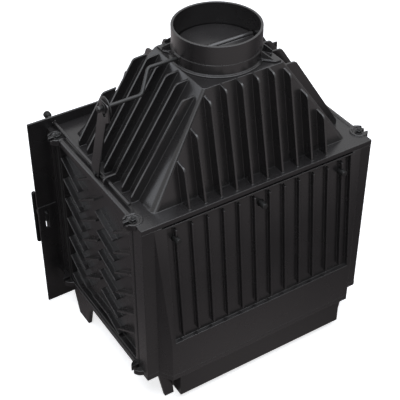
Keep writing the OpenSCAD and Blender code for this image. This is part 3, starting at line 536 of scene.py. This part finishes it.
def make_crank_hardware():
    """What holds the link on the crank's pin: two washers and a nut."""
    place_models("crank_washers_turned", "crank_washers",
                 (washer(bore=4.05, outer=23, thick=2.5), [on_crank_pin(INNER_WASHER_X)]),
                 (washer(bore=4.05, outer=12, thick=1.5), [on_crank_pin(OUTER_WASHER_X)]))
    place_models("crank_nut_chamfered", "crank_nut",
                 (hexagon_nut(bore=4.05, thick=4.5), [on_crank_pin(NUT_X)]))


def make_crank_spring():
    """The spring as one round wire, wound through 2.6 turns."""
    # Its rise over all turns, and the radii of its coil and of its wire
    turns, steps, rise, coil, wire = 2.6, 52, 5.7, 6.4, 0.65
    bm = bmesh.new()
    ring = bmesh.ops.create_circle(bm, segments=12, radius=wire * MM,
                                   matrix=at(coil, 0, wire, FORWARD))["verts"]
    bmesh.ops.spin(bm, geom=ring + edges_of(ring), cent=(0, 0, 0), axis=(0, 0, 1),
                   angle=math.tau * turns, steps=steps, dvec=(0, 0, rise * MM / steps))
    close_ends(bm)
    place_models("crank_spring_wound", "crank_spring", (bm, [on_crank_pin(SPRING_X)]))


def make_screws_and_pins():
    """The back panel's round bolts, two kinds of socket screws and the hinges' pins."""
    bolt = turned([(0, -20), (4.4, -20), (5, -19.4), (5, 0.2), (6.8, 0.2), (7.1, 0.5),
                   (7.1, 20), (6.8, 20.9), (6.0, 21.4), (4.8, 21.5), (0, 21.5)])
    place_models("back_bolts_turned", "back_bolts",
                 (bolt, [at(*place, REARWARD) for place in BACK_BOLTS]))
    screw = socket_screw([(0, -5), (2.5, -5), (2.5, 0), (4.8, 0), (5, 0.2), (4.2, 1.9),
                          (3.6, 2.3)], across=3, depth=1.5, head=2.4)
    place_models("plate_screws_socketed", "plate_screws",
                 (screw, [at(*place, FORWARD) for place in PLATE_SCREWS]))
    screw = socket_screw([(0, -10), (2, -10), (2, 2), (3.4, 2), (3.5, 2.2), (3.4, 2.7),
                          (2.8, 2.95)], across=2, depth=0.7, head=3)
    place_models("glass_screws_socketed", "glass_screws",
                 (screw, [at(*place, REARWARD) for place in GLASS_SCREWS]))
    pin = turned([(0, -26), (3.4, -26), (4, -25.4), (4, 25.5), (5.7, 25.5), (6, 25.8),
                  (6, 27.4), (5.5, 28.2), (4.6, 28.5), (0, 28.5)])
    place_models("hinge_pins_turned", "hinge_pins", (pin, [at(*place) for place in HINGE_PINS]))


def make_knobs():
    """Three turned knobs and the handle's grip, a bar with round ends."""
    knob = turned([(4.05, -9), (4.8, -9), (5.6, -8.4), (7.9, -5.2), (8.5, -4.2), (8.8, -3),
                   (8.8, 4.4), (8.5, 5.8), (7.7, 6.7), (6.4, 7), (0, 7), (0, 0), (4.05, 0)],
                  segments=40, closed=True)
    place_models("control_knob_turned", "control_knob", (knob, [at(*CONTROL_KNOB, FORWARD)]))
    knob = turned([(0, -9), (3, -9), (3, 0), (5, 0), (5, 6.8), (5.5, 8), (10.1, 10.4),
                   (10.8, 11.1), (11, 12), (11, 16.2), (10.6, 17.6), (9.6, 18.6), (8.2, 19),
                   (0, 19)], segments=40)
    place_models("ash_pan_knob_turned", "ash_pan_knob", (knob, [at(*ASH_PAN_KNOB, FORWARD)]))
    knob = turned([(0, 0), (3, 0), (3, 4.4), (3.4, 5.3), (5.5, 6.8), (6, 7.7), (6, 10.8),
                   (5.6, 11.7), (4.6, 12), (0, 12)])
    place_models("air_slider_knob_turned", "air_slider_knob",
                 (knob, [at(*AIR_SLIDER_KNOB, FORWARD)]))
    thick, length = 6, 160
    foot = [(thick * math.sin(math.radians(a)), thick - thick * math.cos(math.radians(a)))
            for a in range(0, 91, 15)]
    grip = turned(foot + [(r, length - z) for r, z in reversed(foot)], segments=40)
    place_models("handle_grip_turned", "handle_grip", (grip, [at(*GRIP_FOOT)]))


def make_door_seal():
    """The rope in the door's groove: an oval drawn round four sides and four bends."""
    # Half the groove's width and height, the radius of its bends, and the oval's radii
    half, bend, wide, thick = Vector((311, 0, 201)), 12, 4.6, 2.4
    bm = bmesh.new()
    oval = bmesh.ops.create_circle(bm, segments=16, radius=wide * MM)["verts"]
    bmesh.ops.scale(bm, verts=oval, vec=(1, thick / wide, 1))
    bmesh.ops.rotate(bm, verts=oval, matrix=Matrix.Rotation(math.radians(90), 3, "Y"))
    corner = Vector(DOOR_SEAL) + Vector((bend - half.x, 0, -half.z))
    bmesh.ops.translate(bm, verts=oval, vec=corner * MM)
    end = oval + edges_of(oval)
    ways = [Vector((1, 0, 0)), Vector((0, 0, 1)), Vector((-1, 0, 0)), Vector((0, 0, -1))]
    for side, along in enumerate(ways):
        inward = ways[(side + 1) % 4]
        length = 2 * ((half.x if side % 2 == 0 else half.z) - bend)
        grown = bmesh.ops.extrude_edge_only(
            bm, edges=[e for e in end if isinstance(e, bmesh.types.BMEdge)])
        verts = [v for v in grown["geom"] if isinstance(v, bmesh.types.BMVert)]
        bmesh.ops.translate(bm, verts=verts, vec=along * length * MM)
        end = verts + [e for e in grown["geom"] if isinstance(e, bmesh.types.BMEdge)
                       and all(v in verts for v in e.verts)]
        centre = sum((v.co for v in verts), Vector()) / len(verts) + inward * bend * MM
        end = bmesh.ops.spin(bm, geom=end, cent=centre, axis=(0, -1, 0),
                             angle=math.radians(90), steps=6)["geom_last"]
    bmesh.ops.remove_doubles(bm, verts=bm.verts, dist=0.05 * MM)
    bmesh.ops.recalc_face_normals(bm, faces=bm.faces)
    place_piece(bm, "door_rope", "door_seal", smooth=60)


make_tie_rods()
make_tie_nuts()
make_damper_shaft()
make_crank_hardware()
make_crank_spring()
make_screws_and_pins()
make_knobs()
make_door_seal()

# The room: a white floor that keeps the shadow, and a white surround for the camera
bpy.context.scene.view_settings.view_transform = "Standard"


def seen_white(tree, camera_share, gloss_share):
    """Strength for what the camera and glass see, and for gloss; 0 for the object's light."""
    path = add(tree, "ShaderNodeLightPath")
    clear = add(tree, "ShaderNodeMath", {
        0: path.outputs["Is Camera Ray"], 1: path.outputs["Is Transmission Ray"]},
        operation="MAXIMUM")
    clear = add(tree, "ShaderNodeMath", {0: clear.outputs[0], 1: camera_share},
                operation="MULTIPLY")
    gloss = add(tree, "ShaderNodeMath", {0: path.outputs["Is Glossy Ray"], 1: gloss_share},
                operation="MULTIPLY")
    return add(tree, "ShaderNodeMath", {0: clear.outputs[0], 1: gloss.outputs[0]},
               operation="MAXIMUM").outputs[0]


def make_floor():
    """A white floor that keeps the object's shadow. In the paint's gloss it is
    bright close to the object and far away, and dimmer between."""
    bm = bmesh.new()
    bmesh.ops.create_grid(bm, x_segments=1, y_segments=1, size=12)
    mesh = bpy.data.meshes.new("floor")
    bm.to_mesh(mesh)
    bm.free()
    floor = bpy.data.objects.new("floor", mesh)
    bpy.context.scene.collection.objects.link(floor)
    material, tree, where = new_material("white_floor")
    seen = add(tree, "ShaderNodeLightPath").outputs["Is Camera Ray"]
    # The object gets less light from below than a white floor would send it
    shade = add(tree, "ShaderNodeMix", {
        FACTOR: seen, FIRST: linear("#5e5858"), SECOND: linear("#f4f4f4")}, data_type="RGBA")
    diffuse = add(tree, "ShaderNodeBsdfDiffuse", {"Color": shade.outputs[MIXED]})
    # Distances in metres: from a point under the object's rear, and in front or behind
    away = add(tree, "ShaderNodeVectorMath", {0: where, 1: (0.05, 0.25, 0)},
               operation="DISTANCE").outputs["Value"]
    depth = add(tree, "ShaderNodeMath", {
        0: add(tree, "ShaderNodeSeparateXYZ", {"Vector": where}).outputs["Y"]},
        operation="ABSOLUTE").outputs[0]
    near = add(tree, "ShaderNodeMapRange", {
        "Value": away, "From Min": 0.1, "From Max": 0.55, "To Min": 0.3, "To Max": 0.06})
    far = add(tree, "ShaderNodeMapRange", {
        "Value": depth, "From Min": 0.7, "From Max": 1.3, "To Min": 0.0, "To Max": 0.5})
    pool = add(tree, "ShaderNodeMath", {0: near.outputs[0], 1: far.outputs[0]},
               operation="ADD").outputs[0]
    # Far out, where the lamps don't reach, the floor gives all of its white by itself
    share = add(tree, "ShaderNodeMapRange", {
        "Value": away, "From Min": 1.0, "From Max": 3.0, "To Min": 0.75, "To Max": 1.0})
    tint = add(tree, "ShaderNodeMix", {
        FACTOR: seen, FIRST: linear("#fff6f7"), SECOND: linear("#ffffff")}, data_type="RGBA")
    glow = add(tree, "ShaderNodeEmission", {
        "Color": tint.outputs[MIXED],
        "Strength": seen_white(tree, camera_share=share.outputs[0], gloss_share=pool)})
    both = add(tree, "ShaderNodeAddShader", {0: diffuse.outputs[0], 1: glow.outputs[0]})
    add(tree, "ShaderNodeOutputMaterial", {"Surface": both.outputs[0]})
    mesh.materials.append(material)


def make_world():
    """White for the camera and almost so for gloss; a faint cool sky for the object."""
    world = bpy.data.worlds.new("studio")
    bpy.context.scene.world = world
    world.use_nodes = True
    tree = world.node_tree
    tree.nodes.clear()
    seen = seen_white(tree, camera_share=1.0, gloss_share=0.9)
    colour = add(tree, "ShaderNodeMix", {
        FACTOR: seen, FIRST: linear("#e3e8f0"), SECOND: linear("#ffffff")}, data_type="RGBA")
    strength = add(tree, "ShaderNodeMapRange", {"Value": seen, "To Min": 0.08, "To Max": 1.0})
    sky = add(tree, "ShaderNodeBackground", {
        "Color": colour.outputs[MIXED], "Strength": strength.outputs[0]})
    add(tree, "ShaderNodeOutputWorld", {"Surface": sky.outputs[0]})


def softbox(name, place, target, size, power, colour):
    """A square area light, in metres and watts, turned to a point."""
    light = bpy.data.lights.new(name, "AREA")
    light.shape = "SQUARE"
    light.size = size
    light.energy = power
    light.color = linear(colour)[:3]
    lamp = bpy.data.objects.new(name, light)
    bpy.context.scene.collection.objects.link(lamp)
    lamp.location = place
    lamp.rotation_euler = (Vector(target) - Vector(place)).to_track_quat("-Z", "Y").to_euler()


make_floor()
make_world()
softbox("overhead", place=(0.1, 0.3, 3.2), target=(0, 0, 0.4),
        size=3.6, power=135, colour="#eef2fa")
softbox("front_right", place=(2.7, -2.4, 1.4), target=(0, 0, 0.6),
        size=1.6, power=9, colour="#e8eefa")
# A weak one behind the camera, which the hood's slanted corners reflect
softbox("hips", place=(1.9, 2.3, 1.33), target=(0.2, 0.15, 0.56),
        size=1.2, power=8, colour="#eef2fa")

# The photograph's angle: behind the right-hand side, from above, without shift
AZIMUTH, ELEVATION = math.radians(147.71), math.radians(38.84)
camera = bpy.data.objects.new("camera", bpy.data.cameras.new("camera"))
bpy.context.scene.collection.objects.link(camera)
camera.data.lens = 94.39
camera.data.sensor_width = 36
camera.location = (1.0685, 1.6655, 1.9267)
towards = Vector((-math.sin(AZIMUTH) * math.cos(ELEVATION),
                  math.cos(AZIMUTH) * math.cos(ELEVATION), -math.sin(ELEVATION)))
camera.rotation_euler = towards.to_track_quat("-Z", "Y").to_euler()
bpy.context.scene.camera = camera
